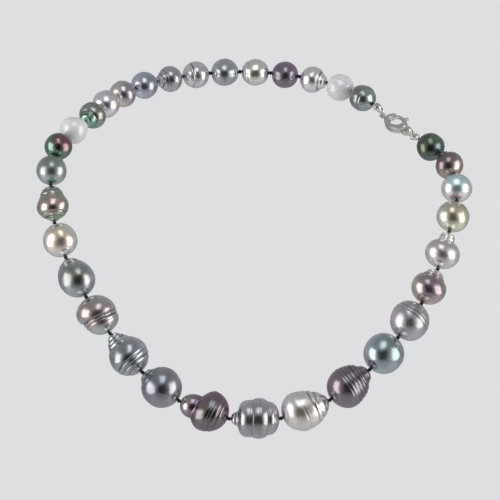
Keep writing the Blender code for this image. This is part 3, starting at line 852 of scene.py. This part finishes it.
def floor_finish():
    finish = bpy.data.materials.new("pale_floor")
    finish.use_nodes = True
    nodes, links = finish.node_tree.nodes, finish.node_tree.links
    shader = nodes["Principled BSDF"]
    place = nodes.new("ShaderNodeTexCoord")
    mottle = nodes.new("ShaderNodeTexNoise")
    mottle.inputs["Scale"].default_value = 3
    links.new(place.outputs["Object"], mottle.inputs["Vector"])
    tone = nodes.new("ShaderNodeMix")
    tone.data_type = "RGBA"
    tone.inputs["A"].default_value = swatch(222, 222, 225)
    tone.inputs["B"].default_value = swatch(228, 228, 230)
    links.new(mottle.outputs["Fac"], tone.inputs["Factor"])
    links.new(tone.outputs["Result"], shader.inputs["Base Color"])
    shader.inputs["Roughness"].default_value = 0.9
    shader.inputs["Specular IOR Level"].default_value = 0.1
    even = nodes.new("ShaderNodeEmission")
    even.inputs["Color"].default_value = swatch(229, 229, 231)
    seen = nodes.new("ShaderNodeLightPath")
    part = nodes.new("ShaderNodeMath")
    part.operation = "MULTIPLY"
    part.inputs[1].default_value = EVEN_SHARE
    links.new(seen.outputs["Is Camera Ray"], part.inputs[0])
    both = nodes.new("ShaderNodeMixShader")
    links.new(part.outputs[0], both.inputs["Fac"])
    links.new(shader.outputs[0], both.inputs[1])
    links.new(even.outputs[0], both.inputs[2])
    links.new(both.outputs[0], nodes["Material Output"].inputs["Surface"])
    return finish


floor = new_piece("studio_floor", floor_mesh, floor_finish(), Matrix())

# ---- Studio light -----------------------------------------------------------------------------
# Two tall soft boxes stand left and right, a third hangs overhead, and a dark flag round the
# camera keeps the middle of each pearl deep. The room gives an even pale fill.
aim = Vector((-0.0012, -0.010, -0.0461))


def hang_light(name, place, width, height, power, colour):
    lamp = bpy.data.lights.new(name, "AREA")
    lamp.shape = "RECTANGLE"
    lamp.size, lamp.size_y = width, height
    lamp.energy = power
    lamp.color = colour
    stand = bpy.data.objects.new(name, lamp)
    bpy.context.scene.collection.objects.link(stand)
    stand.location = aim + place
    stand.rotation_euler = place.to_track_quat("Z", "Y").to_euler()
    stand.visible_camera = False


SIDE_WIDTH, SIDE_HEIGHT, SIDE_POWER, SIDE_COLOUR = 0.8, 1.1, 6.9, (1, 0.99, 0.97)
for name, side in (("left_softbox", -1), ("right_softbox", 1)):
    hang_light(name, Vector((1.06 * side, -0.42, -0.04)),
               SIDE_WIDTH, SIDE_HEIGHT, SIDE_POWER, SIDE_COLOUR)
hang_light("overhead_softbox", Vector((0, -0.62, 0.92)), 0.5, 0.7, 2.1, (0.86, 0.93, 1))

FLAG_HALF = 0.66
FLAG_AWAY = -1.25
FLAG_LOW, FLAG_HIGH = -0.66, 0.56
flag_mesh = bpy.data.meshes.new("camera_flag")
flag_mesh.from_pydata(
    [(-FLAG_HALF, FLAG_AWAY, FLAG_LOW), (FLAG_HALF, FLAG_AWAY, FLAG_LOW),
     (FLAG_HALF, FLAG_AWAY, FLAG_HIGH), (-FLAG_HALF, FLAG_AWAY, FLAG_HIGH)], [], [(0, 1, 2, 3)])
black_cloth = bpy.data.materials.new("black_cloth")
black_cloth.use_nodes = True
cloth_shader = black_cloth.node_tree.nodes["Principled BSDF"]
cloth_shader.inputs["Base Color"].default_value = swatch(20, 19, 20)
cloth_shader.inputs["Roughness"].default_value = 1.0
flag = new_piece("camera_flag", flag_mesh, black_cloth, Matrix())
flag.visible_camera = False

ROOM_STRENGTH = 0.42
room = bpy.data.worlds.new("studio_room")
room.use_nodes = True
room_nodes, room_links = room.node_tree.nodes, room.node_tree.links
room_fill = room_nodes["Background"]
room_fill.inputs["Color"].default_value = (0.80, 0.81, 0.84, 1)
room_fill.inputs["Strength"].default_value = ROOM_STRENGTH
room_seen = room_nodes.new("ShaderNodeBackground")
room_seen.inputs["Color"].default_value = swatch(221, 221, 224)
room_path = room_nodes.new("ShaderNodeLightPath")
room_mix = room_nodes.new("ShaderNodeMixShader")
room_links.new(room_path.outputs["Is Camera Ray"], room_mix.inputs["Fac"])
room_links.new(room_fill.outputs[0], room_mix.inputs[1])
room_links.new(room_seen.outputs[0], room_mix.inputs[2])
room_links.new(room_mix.outputs[0], room_nodes["World Output"].inputs["Surface"])
bpy.context.scene.world = room

# ---- Camera -----------------------------------------------------------------------------------
# A long lens stands far off on a tripod, a little above the necklace and square to its front, so
# that near and far pearls keep their true sizes.
CAMERA_AWAY = 2.4
CAMERA_RISE = math.radians(8.5)
VIEW_WIDTH = 0.150
lens = bpy.data.cameras.new("front_camera")
lens.sensor_width = 36
lens.lens = lens.sensor_width * CAMERA_AWAY / VIEW_WIDTH
camera = bpy.data.objects.new("front_camera", lens)
bpy.context.scene.collection.objects.link(camera)
camera.location = aim + CAMERA_AWAY * Vector((0, -math.cos(CAMERA_RISE), math.sin(CAMERA_RISE)))
camera.rotation_euler = (math.pi / 2 - CAMERA_RISE, 0, 0)
bpy.context.scene.camera = camera
bpy.context.scene.view_settings.view_transform = "Standard"
